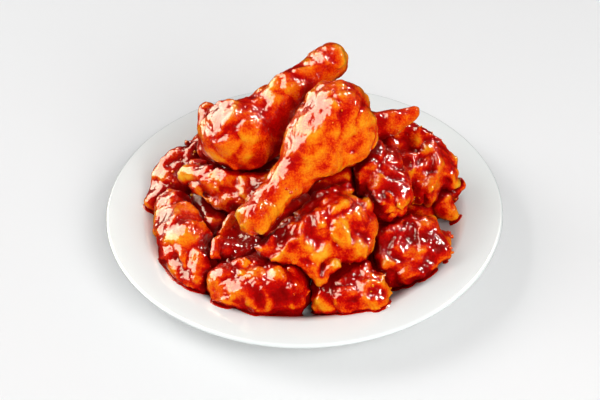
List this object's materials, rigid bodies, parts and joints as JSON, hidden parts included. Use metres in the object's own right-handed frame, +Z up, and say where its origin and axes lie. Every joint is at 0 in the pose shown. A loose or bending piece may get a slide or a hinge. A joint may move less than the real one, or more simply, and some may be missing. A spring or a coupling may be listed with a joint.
{
  "type": "chicken wings serving",
  "caption": "Heap of glazed fried chicken wings, drumsticks and chunks on a round white rimmed plate with a flat foot ring.",
  "frame": {"origin": "middle of the plate's foot, on the table; the plate is the widest thing, so this is the bottom centre of the box", "axes": "+Z up, the shortest extent; the picture is taken from -Y, with +X to its right"},
  "size_m": [0.25, 0.25, 0.1201],
  "materials": {
    "glazed_crust": "wet gloss",
    "porcelain": "gloss"
  },
  "bodies": {
    "root": {"drumstick_front": "glazed_crust", "drumstick_back": "glazed_crust", "wing_back_left": "glazed_crust", "wing_left": "glazed_crust", "thigh_left": "glazed_crust", "drumette_left": "glazed_crust", "wing_front_left": "glazed_crust", "thigh_front_left": "glazed_crust", "wing_front": "glazed_crust", "chunk_front": "glazed_crust", "thigh_right": "glazed_crust", "drumette_right": "glazed_crust", "wing_right": "glazed_crust", "wing_back_right": "glazed_crust", "wing_far_right": "glazed_crust", "thigh_back": "glazed_crust", "drumette_back_right": "glazed_crust", "chunk_back_left": "glazed_crust", "chunk_middle_left": "glazed_crust", "chunk_middle_right": "glazed_crust", "plate": "porcelain"}
  },
  "joints": []
}
